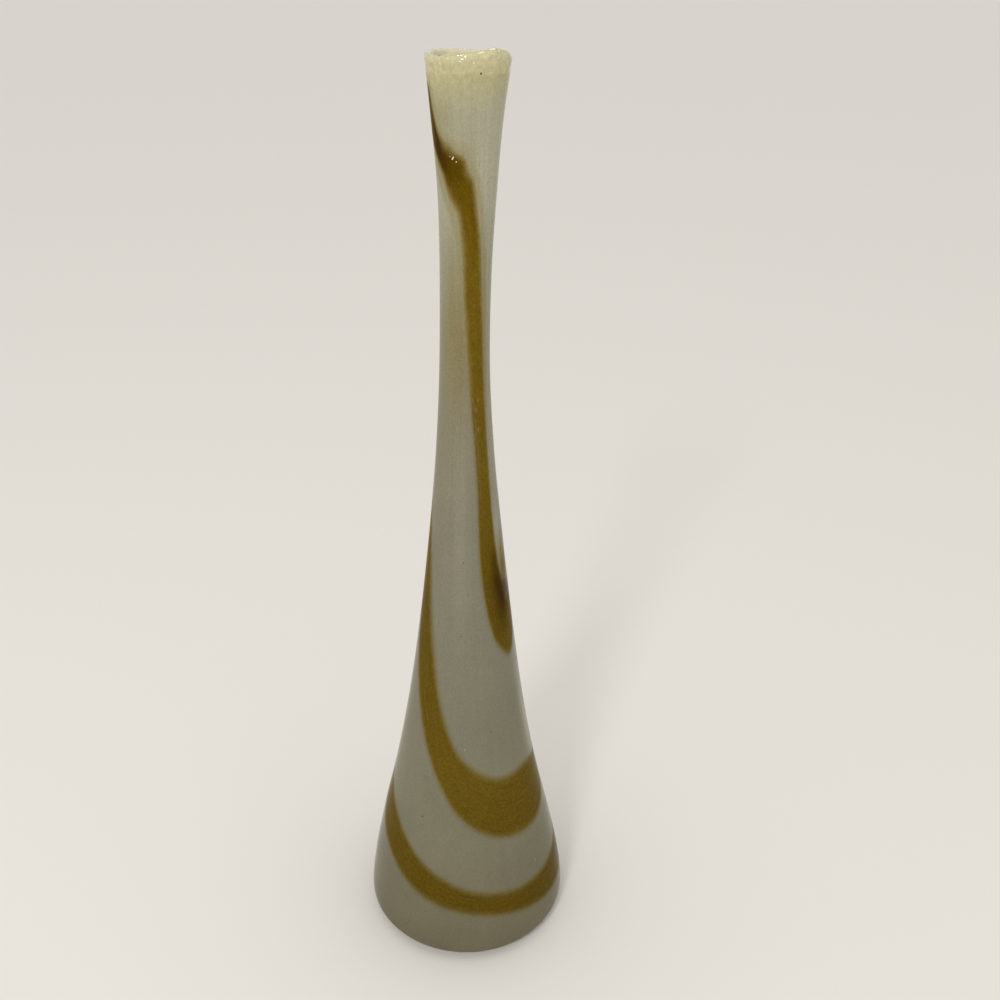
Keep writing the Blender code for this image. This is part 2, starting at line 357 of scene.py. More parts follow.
def trailRiseAt(angles, heights, rows, reach):
    # How far into the trail's colour each point lies: none outside it, one where it is full.
    # Each short stretch of the trail is a patch with four corners on the wall, unrolled there.
    rise = np.full(len(angles), -1.0)
    for before, after in zip(rows, rows[1:]):
        lowest = min(before[1], after[1], before[3], after[3]) - reach
        highest = max(before[1], after[1], before[3], after[3]) + reach
        near = np.nonzero((heights > lowest) & (heights < highest))[0]
        middle = (before[0] + before[2]) / 2
        near = near[np.abs(turnFrom(angles[near], middle)) < math.pi / 2]
        x = turnFrom(angles[near], middle) * radiusAt(heights[near])
        y = heights[near]
        radius = radiusAt((before[1] + before[3]) / 2)
        corners = []
        for row, side in ((before, 0), (after, 0), (after, 2), (before, 2)):
            corners.append(np.array(((row[side] - middle) * radius, row[side + 1])))
        turns = []
        for corner, following in zip(corners, corners[1:] + corners[:1]):
            side = following - corner
            turns.append(side[0] * (y - corner[1]) - side[1] * (x - corner[0]))
        turns = np.array(turns)
        inside = np.all(turns >= 0, axis=0) | np.all(turns <= 0, axis=0)
        low = distanceToLine(x, y, corners[0], corners[1])
        high = distanceToLine(x, y, corners[3], corners[2])
        sign = np.where(inside, 1, -1)
        edgeRise = np.interp(y, trail["edgeHeights"], trail["edgeRises"])
        lowRise = edgeRise + sign * low / np.interp(y, fadeHeights, lowFades)
        highRise = edgeRise + sign * high / np.interp(y, fadeHeights, highFades)
        here = np.where(inside, np.minimum(lowRise, highRise), np.maximum(lowRise, highRise))
        rise[near] = np.maximum(rise[near], here)
    rise = rise + strengthAt(trail["spreadPlaces"], angles, heights)
    halo = trail["haloRise"] * eased(shareBetween(rise, trail["haloFrom"], trail["haloFull"]))
    halo *= np.interp(heights, trail["haloHeights"], (0, 1))
    # stains beside the trail, and painted amber light from the trail behind
    stainAndGlow = strengthAt(trail["stainAndGlowPlaces"], angles, heights)
    return np.maximum(np.maximum(rise, halo), stainAndGlow)


def darknessAt(angles, heights, rise):
    deep = shareBetween(rise, trail["darkFrom"], trail["darkFull"])
    return deep * strengthAt(trail["darkPlaces"], angles, heights)


def makeSmooth(name, bm, glass):
    mesh = bpy.data.meshes.new(name)
    bm.to_mesh(mesh)
    bm.free()
    mesh.shade_smooth()
    mesh.set_sharp_from_angle(angle=creaseAngle)
    mesh.materials.append(glass)
    piece = bpy.data.objects.new(name, mesh)
    bpy.context.scene.collection.objects.link(piece)
    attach(piece, "root")
    return piece


def turned(outline, closed):
    # an outline of radius and height pairs, spun round the axis
    bm = bmesh.new()
    points = [bm.verts.new((radius, 0, height)) for radius, height in outline]
    lines = [bm.edges.new(pair) for pair in zip(points, points[1:])]
    if closed:
        lines.append(bm.edges.new((points[-1], points[0])))
    bmesh.ops.spin(
        bm, geom=points + lines, cent=(0, 0, 0), axis=(0, 0, 1),
        angle=math.tau, steps=vase["stepsRound"], use_merge=True,
    )
    bmesh.ops.remove_doubles(bm, verts=bm.verts, dist=vase["mergeDistance"])
    bmesh.ops.recalc_face_normals(bm, faces=bm.faces)
    return bm


# Node helpers

def addNode(tree, kind, inputs=None, **settings):
    made = tree.nodes.new(kind)
    for name, value in settings.items():
        setattr(made, name, value)
    for name, value in (inputs or {}).items():
        if isinstance(value, bpy.types.NodeSocket):
            tree.links.new(value, made.inputs[name])
        else:
            made.inputs[name].default_value = value
    return made


def mixColours(tree, blend, factor, first, second):
    # sockets 0, 6 and 7 are the factor and the two colours, and output 2 is the mixed colour
    inputs = {0: factor, 6: first, 7: second}
    return addNode(tree, "ShaderNodeMix", inputs, data_type="RGBA", blend_type=blend).outputs[2]


def mapped(tree, value, low, high, newLow, newHigh, kind="LINEAR"):
    made = addNode(
        tree, "ShaderNodeMapRange",
        {"Value": value, "From Min": low, "From Max": high, "To Min": newLow, "To Max": newHigh},
        interpolation_type=kind,
    )
    return made.outputs["Result"]


def maths(tree, operation, first, second):
    return addNode(tree, "ShaderNodeMath", {0: first, 1: second}, operation=operation).outputs[0]


def vectorMaths(tree, operation, *values):
    inputs = dict(enumerate(values))
    return addNode(tree, "ShaderNodeVectorMath", inputs, operation=operation).outputs[0]


def attribute(tree, name):
    return addNode(tree, "ShaderNodeAttribute", attribute_name=name).outputs["Fac"]


def ramp(tree, value, stops):
    made = addNode(tree, "ShaderNodeValToRGB", {"Fac": value})
    made.color_ramp.interpolation = "LINEAR"
    elements = made.color_ramp.elements
    while len(elements) > 1:
        elements.remove(elements[-1])
    for index, (place, colour) in enumerate(stops):
        stop = elements[0] if index == 0 else elements.new(place)
        stop.position = place
        stop.color = (*colour, 1)
    return made.outputs["Color"]


def plainNoise(tree, where, scale, detail):
    inputs = {"Vector": where, "Scale": scale, "Detail": detail}
    return addNode(tree, "ShaderNodeTexNoise", inputs).outputs["Fac"]


noiseSpread = (0.3, 0.7)  # nearly all of a noise lies between these


def noiseAt(tree, where, scale, detail, low, high):
    return mapped(tree, plainNoise(tree, where, scale, detail), *noiseSpread, low, high)


def varied(tree, colour, where, pattern, strength=1):
    # a colour made darker and lighter by a noise with a scale, a detail and a share of change
    scale, detail, change = pattern
    shade = noiseAt(tree, where, scale, detail, 1 - change, 1 + change)
    return mixColours(tree, "MULTIPLY", strength, colour, shade)


# The glasses: linear colours by share of the height, and how they vary. A pattern is the
# scale and the detail of a noise, and the share by which it changes the colour.
opalGlass = {
    # darker towards the base and paler towards the lip: partly the glass's own tone, partly painted
    # shade low on the body and painted light near the top
    "colours": (
        (0.00, (0.142, 0.129, 0.080)),
        (0.06, (0.160, 0.147, 0.094)),
        (0.12, (0.175, 0.162, 0.106)),
        (0.20, (0.192, 0.180, 0.121)),
        (0.40, (0.203, 0.191, 0.135)),
        (0.55, (0.216, 0.202, 0.142)),
        (0.66, (0.240, 0.223, 0.156)),
        (0.76, (0.284, 0.268, 0.188)),
        (0.83, (0.328, 0.313, 0.226)),
        (0.88, (0.372, 0.356, 0.260)),
        (0.950, (0.385, 0.368, 0.260)),
        (0.966, (0.422, 0.399, 0.258)),
        (0.976, (0.445, 0.415, 0.245)),
        (0.984, (0.475, 0.436, 0.242)),
        (0.988, (0.540, 0.498, 0.266)),
        (0.993, (0.590, 0.545, 0.310)),
        (1.000, (0.750, 0.700, 0.430)),
    ),
    # the inner face is painted paler: painted light for the glow through the translucent wall
    "insideColourAndGlow": (0.850, 0.785, 0.550),
    # drawn streaks: scale round the axis, length up it and share of change. They are weaker
    # low on the body, by share of the height.
    "streaks": ((9, 0.10, 0.05), (46, 0.05, 0.045)),
    "streakDetail": 4,
    "streakShares": (0.35, 0.8),
    "streakStrengths": (0.25, 1),
    "clouds": (30, 3, 0.05),
    "grain": (1100, 2, 0.08),
    # mottled only near the lip
    "mottle": (480, 4, 0.12),
    "mottleHeights": (0.436, 0.449),
    "specular": 0.04,
    "sheenAndHazeColour": (0.44, 0.42, 0.33),
    # paler places in the wall, as the soft places of the trail. Most are painted sheen, the
    # reflections along the right flank and under the flare; the others are paler opal
    "sheenAndHazePlaces": (
        (68, 0.4300, 0.0075, 0.0150, 0.50),
        (60, 0.2440, 0.0030, 0.014, 0.30),
        (66, 0.275, 0.0040, 0.045, 0.24),
        (-8, 0.245, 0.0040, 0.050, 0.12),
        (76, 0.1560, 0.0045, 0.030, 0.26),
        (80, 0.1230, 0.0050, 0.020, 0.34),
    ),
}
amberGlass = {
    "colours": (
        (0.00, (0.090, 0.056, 0.0050)),
        (0.10, (0.100, 0.063, 0.0055)),
        (0.25, (0.124, 0.080, 0.0080)),
        (0.45, (0.108, 0.068, 0.0050)),
        (0.60, (0.138, 0.088, 0.0090)),
        (0.80, (0.150, 0.095, 0.0075)),
        (0.88, (0.122, 0.072, 0.0030)),
        (1.00, (0.105, 0.062, 0.0040)),
    ),
    "darkColour": (0.040, 0.017, 0.001),
    "insideColourAndGlow": (0.290, 0.205, 0.070),
    # half-way out of the trail its colour is yellower than a plain mixture with the opal
    "edgeTint": (1.0, 0.925, 0.57),
    # streaks along the trail: scales along and across it
    "streakScales": (60, 1200, 0),
    "streaks": (1, 3, 0.12),
    "mottle": (800, 3, 0.16),
    # the edge is ragged, but less where the colour has risen little: the scale and the detail
    # of a noise, and how far it shifts the rise
    "ragged": (220, 4, 0.06),
    "raggedRises": (0.35, 0.6),
    "raggedStrengths": (0.1, 1),
    "specular": 0.01,
}
# The polished surface of the wall, opal and amber alike. Its fine bumps have the scale and the
# detail of a noise, its drawn ones a scale round the axis and a length up it. Both grow
# towards the lip.
wallSurface = {
    "roughness": (0.12, 0.20),
    "roughnessNoise": (60, 4),
    "scatter": 0.12,
    "scatterRadius": (1.0, 0.9, 0.6),
    "scatterDepth": 0.003,
    "fineBumps": (450, 3),
    "drawnBumps": (40, 0.05),
    "drawnDetail": 2,
    "bumpHeights": (0.425, 0.446),
    "bumps": (0.25, 0.9),
    "bumpDistance": 0.00006,
}
lipSurface = {
    "specular": 0.5,
    "ior": 1.5,
    "clearness": 0.35,
    "roughness": (0.15, 0.05),
    "scatter": 0.15,
}
# the small things' glasses: colour, roughness and specular level
smallGlasses = {
    # the blisters and the drops are pale so that they show as glints: painted highlights
    "painted glint blister": ((0.90, 0.84, 0.62), 0.05, 0.8),
    "painted glint drop": ((0.97, 0.95, 0.80), 0.05, 0.8),
    "dark seed": ((0.035, 0.022, 0.008), 0.35, 0.3),
    "pale bubble": ((0.30, 0.25, 0.14), 0.15, 0.1),
}
smallPattern = (900, 2, 0.2)


def drawnCoordinates(tree, position, roundScale, length):
    # a direction round the axis with a slow rise, so that a pattern follows the drawn glass
    outwards = vectorMaths(tree, "NORMALIZE", vectorMaths(tree, "MULTIPLY", position, (1, 1, 0)))
    wide = vectorMaths(tree, "MULTIPLY", outwards, (roundScale, roundScale, 0))
    rise = vectorMaths(tree, "MULTIPLY", position, (0, 0, 1 / length))
    return vectorMaths(tree, "ADD", wide, rise)


def makeWallColour():
    # the wall's colour: opal, with the amber where the trail runs
    o, a = opalGlass, amberGlass
    tree = bpy.data.node_groups.new("wall colour", "ShaderNodeTree")
    tree.interface.new_socket("Colour", in_out="OUTPUT", socket_type="NodeSocketColor")
    out = tree.nodes.new("NodeGroupOutput")
    position = addNode(tree, "ShaderNodeTexCoord").outputs["Object"]
    height = addNode(tree, "ShaderNodeSeparateXYZ", {0: position}).outputs["Z"]
    share = mapped(tree, height, 0, vase["height"], 0, 1)

    # the opal by height, with painted shade low down and painted light near the lip
    opal = ramp(tree, share, o["colours"])
    strength = mapped(tree, share, *o["streakShares"], *o["streakStrengths"])
    for roundScale, length, change in o["streaks"]:
        where = drawnCoordinates(tree, position, roundScale, length)
        opal = varied(tree, opal, where, (1, o["streakDetail"], change), strength)
    opal = varied(tree, opal, position, o["clouds"])
    opal = varied(tree, opal, position, o["mottle"], mapped(tree, height, *o["mottleHeights"], 0, 1))
    # paler places, most of them a painted sheen along the right flank
    opal = mixColours(tree, "MIX", attribute(tree, "sheenAndHaze"), opal, (*o["sheenAndHazeColour"], 1))
    # the inner face is painted paler: painted light for the glow through the wall
    opal = mixColours(tree, "MIX", attribute(tree, "insideWall"), opal, (*o["insideColourAndGlow"], 1))

    amber = ramp(tree, share, a["colours"])
    flow = {"X": attribute(tree, "along"), "Y": attribute(tree, "across")}
    flow = addNode(tree, "ShaderNodeCombineXYZ", flow).outputs[0]
    amber = varied(tree, amber, vectorMaths(tree, "MULTIPLY", flow, a["streakScales"]), a["streaks"])
    amber = varied(tree, amber, position, a["mottle"])
    amber = mixColours(tree, "MIX", attribute(tree, "darkness"), amber, (*a["darkColour"], 1))
    amber = mixColours(tree, "MIX", attribute(tree, "insideWall"), amber, (*a["insideColourAndGlow"], 1))

    rise = attribute(tree, "trailRise")
    scale, detail, change = a["ragged"]
    ragged = noiseAt(tree, position, scale, detail, -change, change)
    strength = mapped(tree, rise, *a["raggedRises"], *a["raggedStrengths"])
    ragged = maths(tree, "MULTIPLY", ragged, strength)
    shown = mapped(tree, maths(tree, "ADD", rise, ragged), 0, 1, 0, 1, "SMOOTHSTEP")
    halfWay = mixColours(tree, "MIX", 0.5, opal, amber)
    edge = mixColours(tree, "MULTIPLY", 1, halfWay, (*a["edgeTint"], 1))
    colour = mixColours(tree, "MIX", mapped(tree, shown, 0, 0.5, 0, 1), opal, edge)
    colour = mixColours(tree, "MIX", mapped(tree, shown, 0.5, 1, 0, 1), colour, amber)
    colour = varied(tree, colour, position, o["grain"])
    tree.links.new(colour, out.inputs["Colour"])


def newGlass(name, specular, scatter):
    # a glass with the wall's colour, lit a little from within
    glass = bpy.data.materials.new(name)
    glass.use_nodes = True
    tree = glass.node_tree
    shader = tree.nodes["Principled BSDF"]
    colour = addNode(tree, "ShaderNodeGroup", node_tree=bpy.data.node_groups["wall colour"])
    tree.links.new(colour.outputs["Colour"], shader.inputs["Base Color"])
    position = addNode(tree, "ShaderNodeTexCoord").outputs["Object"]
    shader.inputs["Specular IOR Level"].default_value = specular
    shader.inputs["Subsurface Weight"].default_value = scatter
    shader.inputs["Subsurface Radius"].default_value = wallSurface["scatterRadius"]
    shader.inputs["Subsurface Scale"].default_value = wallSurface["scatterDepth"]
    return glass, tree, shader, position


def makeWallGlass(name, specular):
    # the opal wall and the amber in it are one polished surface
    w = wallSurface
    glass, tree, shader, position = newGlass(name, specular, w["scatter"])
    roughness = noiseAt(tree, position, *w["roughnessNoise"], *w["roughness"])
    tree.links.new(roughness, shader.inputs["Roughness"])
    fine = plainNoise(tree, position, *w["fineBumps"])
    drawn = plainNoise(tree, drawnCoordinates(tree, position, *w["drawnBumps"]), 1, w["drawnDetail"])
    rise = addNode(tree, "ShaderNodeSeparateXYZ", {0: position}).outputs["Z"]
    bump = addNode(tree, "ShaderNodeBump", {
        "Height": maths(tree, "ADD", fine, drawn),
        "Strength": mapped(tree, rise, *w["bumpHeights"], *w["bumps"]),
        "Distance": w["bumpDistance"],
    })
    tree.links.new(bump.outputs["Normal"], shader.inputs["Normal"])
    return glass


def makeLipGlass():
    # clearer and smoother towards the top
    s = lipSurface
    glass, tree, shader, position = newGlass("lip glass", s["specular"], s["scatter"])
    height = addNode(tree, "ShaderNodeSeparateXYZ", {0: position}).outputs["Z"]
    up = mapped(tree, height, vase["lipSeat"], vase["height"], 0, 1)
    tree.links.new(maths(tree, "MULTIPLY", up, s["clearness"]), shader.inputs["Transmission Weight"])
    tree.links.new(mapped(tree, up, 0, 1, *s["roughness"]), shader.inputs["Roughness"])
    shader.inputs["IOR"].default_value = s["ior"]
    return glass


def makePlainGlass(name, colour, roughness, specular):
    glass = bpy.data.materials.new(name)
    glass.use_nodes = True
    tree = glass.node_tree
    shader = tree.nodes["Principled BSDF"]
    position = addNode(tree, "ShaderNodeTexCoord").outputs["Object"]
    tree.links.new(varied(tree, (*colour, 1), position, smallPattern), shader.inputs["Base Color"])
    shader.inputs["Roughness"].default_value = roughness
    shader.inputs["Specular IOR Level"].default_value = specular
    return glass


makeWallColour()
opalMaterial = makeWallGlass("opal glass", opalGlass["specular"])
amberMaterial = makeWallGlass("amber glass", amberGlass["specular"])
lipMaterial = makeLipGlass()
smallMaterials = {name: makePlainGlass(name, *values) for name, values in smallGlasses.items()}
print("materials made")

# The body: underside, outer face and inner face, turned as one outline
body = {
    "footRingWidth": 0.006,
    "kickHeight": 0.0035,
    "pontilRadius": 0.011,
    "pontilDepth": 0.0012,
    "stepsKick": 6,
    "stepsHeel": 12,
    "stepsSide": 225,
    "stepsFlare": 60,
    "stepsInside": 60,
    "stepsBowl": 10,
    # the heel is true and even up to this share of its height
    "evenHeelShare": 0.25,
    # how far round the trail its colour is looked for
    "trailReach": 0.010,
    # the trail shows weakly through to the inside
    "insideRise": 0.62,
}


def bodyOutline():
    b = body
    ringInner = outerRadius(0) - b["footRingWidth"]
    points = []
    for step in range(b["stepsKick"]):
        share = step / b["stepsKick"]
        points.append((b["pontilRadius"] * share, b["kickHeight"] + b["pontilDepth"] * (1 - share**2)))
    for step in range(b["stepsKick"]):
        share = step / b["stepsKick"]
        radius = b["pontilRadius"] + (ringInner - b["pontilRadius"]) * share
        points.append((radius, b["kickHeight"] * math.cos(math.pi / 2 * share)))
    points.append((ringInner, 0))
    for step in range(b["stepsHeel"]):
        height = vase["bellyHeight"] * (1 - math.cos(math.pi / 2 * step / b["stepsHeel"]))
        points.append((outerRadius(height), height))
    for step in range(b["stepsSide"]):
        height = vase["bellyHeight"] + (vase["neckHeight"] - vase["bellyHeight"]) * step / b["stepsSide"]
        points.append((outerRadius(height), height))
    for step in range(b["stepsFlare"] + 1):
        height = vase["neckHeight"] + (vase["lipSeat"] - vase["neckHeight"]) * step / b["stepsFlare"]
        points.append((outerRadius(height), height))
    for step in range(b["stepsInside"]):
        height = vase["lipSeat"] + (vase["bowlHeight"] - vase["lipSeat"]) * step / b["stepsInside"]
        points.append((outerRadius(height) - wallAt(height), height))
    for step in range(b["stepsBowl"]):
        turn = math.pi / 2 * step / b["stepsBowl"]
        height = vase["bowlHeight"] - (vase["bowlHeight"] - vase["floorHeight"]) * math.sin(turn)
        points.append(((outerRadius(height) - wallAt(height)) * math.cos(turn), height))
    points.append((0, vase["floorHeight"]))
    return points


def setValues(mesh, name, values):
    # one number for each point, which the glasses read by its name
    made = mesh.attributes.new(name, "FLOAT", "POINT")
    made.data.foreach_set("value", np.asarray(values, dtype=np.float32))


def makeBody(rows):
    b = body
    bm = turned(bodyOutline(), closed=False)
    evenHeight = vase["bellyHeight"] * b["evenHeelShare"]
    outer = []
    for vert in bm.verts:
        angle = math.atan2(vert.co.x, -vert.co.y)
        radius = math.hypot(vert.co.x, vert.co.y)
        height = vert.co.z
        isOuter = height > evenHeight and radius > radiusAt(height) - wallAt(height) / 2
        outer.append(isOuter)
        if isOuter:
            vert.co = onGlass(angle, height, 0)
        else:
            vert.co.x += bowAt(height)
    piece = makeSmooth("opal_glass_body", bm, opalMaterial)
    mesh = piece.data
    places = np.zeros(len(mesh.vertices) * 3)
    mesh.vertices.foreach_get("co", places)
    x, y, heights = places.reshape(-1, 3).T
    angles = np.arctan2(x - bowAt(heights), -y)
    outer = np.array(outer)
    rise = trailRiseAt(angles, heights, rows, b["trailReach"])
    setValues(mesh, "trailRise", np.where(outer, rise, np.minimum(rise, b["insideRise"])))
    setValues(mesh, "insideWall", np.where(outer, 0, 1))
    setValues(mesh, "darkness", np.where(outer, darknessAt(angles, heights, rise), 0))
    # the paler places, most of them a painted sheen
    setValues(mesh, "sheenAndHaze", np.where(outer, strengthAt(opalGlass["sheenAndHazePlaces"], angles, heights), 0))
    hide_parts("opal_body")


def makeTrail(rows, places):
    # one strip, drawn on from row to row: its outer face lies in the wall's, its back is sunk
    t = trail
    bm = bmesh.new()
    names = ("trailRise", "along", "across", "darkness")
    layers = {name: bm.verts.layers.float.new(name) for name in names}
    count = t["pointsAcross"]

    def ring(index):
        low, high = rows[index][:2], rows[index][2:]
        radius = radiusAt((low[1] + high[1]) / 2)
        width = math.hypot((high[0] - low[0]) * radius, high[1] - low[1])
        outerFace, innerFace = [], []
        for step in range(count + 1):
            share = step / count
            angle, height = low + (high - low) * share
            lowAway, highAway = width * share, width * (1 - share)
            lens = 1 - (2 * share - 1) ** 2
            depth = wallAt(height) * np.interp(lens, (0, 1), (t["edgeDepthShare"], t["depthShare"]))
            lift = eased(min(1, min(lowAway, highAway) / t["edgeSlope"]))
            lift = (t["proud"] + t["sunkEdge"]) * lift - t["sunkEdge"]
            seam = np.interp(height, t["seamHeights"], (0, 1, 1, 0)) * t["seamDarkness"]
            seam *= math.exp(-((lowAway - t["seamPlace"]) / t["seamWidth"]) ** 2)
            rise = np.interp(height, t["edgeHeights"], t["edgeRises"]) + min(
                lowAway / np.interp(height, fadeHeights, lowFades),
                highAway / np.interp(height, fadeHeights, highFades),
                min(places[index], places[-1] - places[index]) / t["endFade"],
            )
            rise += float(strengthAt(t["spreadPlaces"], angle, height))
            dark = max(float(darknessAt(angle, height, rise)), seam)
            values = (rise, places[index], lowAway, dark)
            outerFace.append((onGlass(angle, height, -lift), values))
            innerFace.append((onGlass(angle, height, depth), values))
        return outerFace + innerFace[::-1]

    def place(vert, point, values):
        vert.co = point
        for name, value in zip(names, values):
            vert[layers[name]] = value

    first = []
    for point, values in ring(0):
        vert = bm.verts.new(point)
        place(vert, point, values)
        first.append(vert)
    start = bm.faces.new(first)
    end = start
    for index in range(1, len(rows)):
        drawn = bmesh.ops.extrude_face_region(bm, geom=[end])["geom"]
        if end is not start:
            bmesh.ops.delete(bm, geom=[end], context="FACES_ONLY")
        end = next(item for item in drawn if isinstance(item, bmesh.types.BMFace))
        for vert, (point, values) in zip(end.verts, ring(index)):
            place(vert, point, values)
    bmesh.ops.recalc_face_normals(bm, faces=bm.faces)
    piece = makeSmooth("amber_glass_trail", bm, amberMaterial)
    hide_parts("amber_swirl")


# The lip: the flare goes on up both faces to a fire-polished round top, with a slight bead
lip = {
    "roundHeight": 0.0016,
    "swell": 0.00045,
    "swellHeight": 0.0026,
    "swellReach": 0.0021,
    "stepsUp": 16,
    "stepsArch": 20,
    # degrees round, and how far the rim rises there
    "rises": (
        (-180, 0.00045),
        (-150, 0.00055),
        (-128, 0.00085),
        (-110, 0.00125),
        (-90, 0.00110),
        (-70, 0.00040),
        (-47, 0),
        (-15, 0.00170),
        (-3, 0.00185),
        (12, 0.00255),
        (23, 0.00300),
        (31, 0.00340),
        (47, 0.00310),
        (90, 0.00040),
        (130, -0.00100),
        (160, -0.00010),
        (180, 0.00045),
    ),
    # the lumps grow from nothing at the seat to their full depth at this share of the lip
    "lumpsFullShare": 0.5,
    "lumpDepth": 0.00028,
    "lumpSize": 0.0030,
    "fineLumpDepth": 0.00014,
    "fineLumpSize": 0.0012,
    # the trail's tail shows on the inner face, and fades out between two heights
    "tailAngle": math.radians(-121),
    "tailReach": math.radians(17),
    "tailRise": 0.70,
    "tailFade": (0.4515, 0.4537),
}
riseDegrees, rimRises = zip(*lip["rises"])


def beadAt(height):
    away = (vase["height"] - lip["swellHeight"] - height) / lip["swellReach"]
    return lip["swell"] * math.exp(-away**2)


def lumpy(point, angle):
    # a point of the even lip, moved to its lumpy and wavy place
    l = lip
    up = (point.z - vase["lipSeat"]) / (vase["height"] - vase["lipSeat"])
    lift = smoothThrough(riseDegrees, rimRises, math.degrees(angle), levelEnds=True)
    outwards = Vector((math.sin(angle), -math.cos(angle), 0))
    lump = l["lumpDepth"] * (noise.noise(point / l["lumpSize"]) + 1)
    lump += l["fineLumpDepth"] * (noise.noise(point / l["fineLumpSize"]) + 1)
    lump *= min(1, up / l["lumpsFullShare"])
    moved = point - outwards * lump
    moved.x += bowAt(min(point.z, vase["height"]))
    moved.z += (lift - lump) * up
    return moved


def lipRadii(height):
    # the even lip's outer and inner face, whose bead is half as thick
    radius = outerRadius(height)
    swell = beadAt(height)
    return radius + swell, radius - wallAt(height) - swell / 2


def archRadius(height, turn):
    # over the round top, from the outer face at no turn to the inner face at half a turn
    outer, inner = lipRadii(height)
    return (outer + inner) / 2 + (outer - inner) / 2 * math.cos(turn)


def onLip(angle, height, inward):
    # a point of the lip's outer face, which goes on over the round top
    low = min(height, vase["height"] - lip["roundHeight"])
    turn = math.asin(min((height - low) / lip["roundHeight"], 1))
    radius = archRadius(low, turn) - dentAt(angle, height) - inward
    return lumpy(Vector((radius * math.sin(angle), -radius * math.cos(angle), height)), angle)


def makeLip():
    l = lip
    base = vase["lipSeat"]
    shoulder = vase["height"] - l["roundHeight"]
    outside, inside = [], []
    for step in range(l["stepsUp"]):
        height = base + (shoulder - base) * step / l["stepsUp"]
        outer, inner = lipRadii(height)
        outside.append((outer, height))
        inside.append((inner, height))
    arch = []
    for step in range(l["stepsArch"] + 1):
        turn = math.pi * step / l["stepsArch"]
        arch.append((archRadius(shoulder, turn), shoulder + l["roundHeight"] * math.sin(turn)))
    bm = turned(outside + arch + inside[::-1], closed=True)
    trailRise = bm.verts.layers.float.new("trailRise")
    insideWall = bm.verts.layers.float.new("insideWall")
    for vert in bm.verts:
        angle = math.atan2(vert.co.x, -vert.co.y)
        if math.hypot(vert.co.x, vert.co.y) > radiusAt(vert.co.z) - vase["mouthWall"] / 2:
            vert.co -= Vector((math.sin(angle), -math.cos(angle), 0)) * dentAt(angle, vert.co.z)
        else:
            away = math.remainder(angle - l["tailAngle"], math.tau) / l["tailReach"]
            shown = np.interp(vert.co.z, l["tailFade"], (1, 0))
            vert[trailRise] = l["tailRise"] * math.exp(-away**2) * shown
            vert[insideWall] = 1
        vert.co = lumpy(vert.co, angle)
    piece = makeSmooth("clear_glass_lip", bm, lipMaterial)
    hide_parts("clear_lip")


# Small things in the glass: degrees round, then height, width, length up the glass and rise in
# metres, and for some how many degrees they lean
smallThings = {
    # pale blisters at the twist: painted glints
    "glintBlisters": (
        (-25.0, 0.4167, 0.0006, 0.0017, 0.00020, -32),
        (-18.7, 0.4154, 0.0005, 0.0006, 0.00015, 0),
        (-30.5, 0.4173, 0.0003, 0.0005, 0.00010, 0),
    ),
    "seeds": (
        (-34.5, 0.0847, 0.0009, 0.0009, 0.00006),
        (25.0, 0.1363, 0.0007, 0.0007, 0.00006),
        (-43.2, 0.1371, 0.0008, 0.0008, 0.00006),
        (10.5, 0.1122, 0.0006, 0.0006, 0.00006),
        (51.2, 0.0967, 0.0006, 0.0006, 0.00006),
        (-6.8, 0.1919, 0.0005, 0.0006, 0.00006),
        (-42.8, 0.1872, 0.0005, 0.0007, 0.00006),
        (58.0, 0.2115, 0.0006, 0.0007, 0.00006),
        (17.2, 0.4490, 0.0008, 0.0008, 0.00012),
    ),
    "bubbles": (
        (-0.8, 0.1281, 0.0005, 0.0022, 0.00010),
        (51.0, 0.0496, 0.0005, 0.0030, 0.00010),
        (-20.0, 0.2876, 0.0004, 0.0030, 0.00008),
        (-19.0, 0.2760, 0.0003, 0.0040, 0.00008),
        (-18.0, 0.2640, 0.0004, 0.0026, 0.00008),
        (-17.0, 0.2527, 0.0003, 0.0034, 0.00008),
        (30.0, 0.3113, 0.0003, 0.0024, 0.00008),
        (28.8, 0.2971, 0.0003, 0.0036, 0.00008),
        (24.8, 0.3068, 0.00025, 0.0044, 0.00008),
        (18.0, 0.3118, 0.00025, 0.0030, 0.00008),
    ),
    # pale drops along the lip's crest and front: painted glints
    "lipGlintDrops": (
        (-7.0, 0.4532, 0.0016, 0.0006, 0.00022, 8),
        (-10.5, 0.4525, 0.0010, 0.0004, 0.00014, 20),
        (-8.0, 0.4544, 0.0013, 0.0004, 0.00010, 8),
        (-26.5, 0.4536, 0.0008, 0.0004, 0.00012, 0),
        (7.0, 0.4519, 0.0007, 0.0003, 0.00008, 20),
        (18.0, 0.4545, 0.0034, 0.0004, 0.00015, 13),
        (33.5, 0.4547, 0.0030, 0.0005, 0.00020, 3),
        (43.0, 0.4543, 0.0010, 0.0004, 0.00010, -8),
    ),
    # further seeds are spread at random, most of them behind and crowded low down
    "drawFrom": 7,
    "moreSeeds": 46,
    "seedSizes": (0.0002, 0.00045),
    "behindShare": 0.6,
    "behindDegrees": (75, 285),
    "frontDegrees": (-75, 75),
    "lowestSeed": 0.02,
    "seedSpan": 0.40,
    "seedCrowding": 1.5,
    "seedStretch": (1, 1.5),
    "seedRise": 0.00004,
    # and so are further bubbles, all over the neck
    "moreBubbles": 36,
    "bubbleHeights": (0.16, 0.43),
    "bubbleWidths": (0.00018, 0.00035),
    "bubbleDegrees": (-180, 180),
    "bubbleStretch": (4, 10),
    "bubbleRise": 0.00005,
    # the point this far above gives the surface's slope
    "slopeReach": 0.001,
}


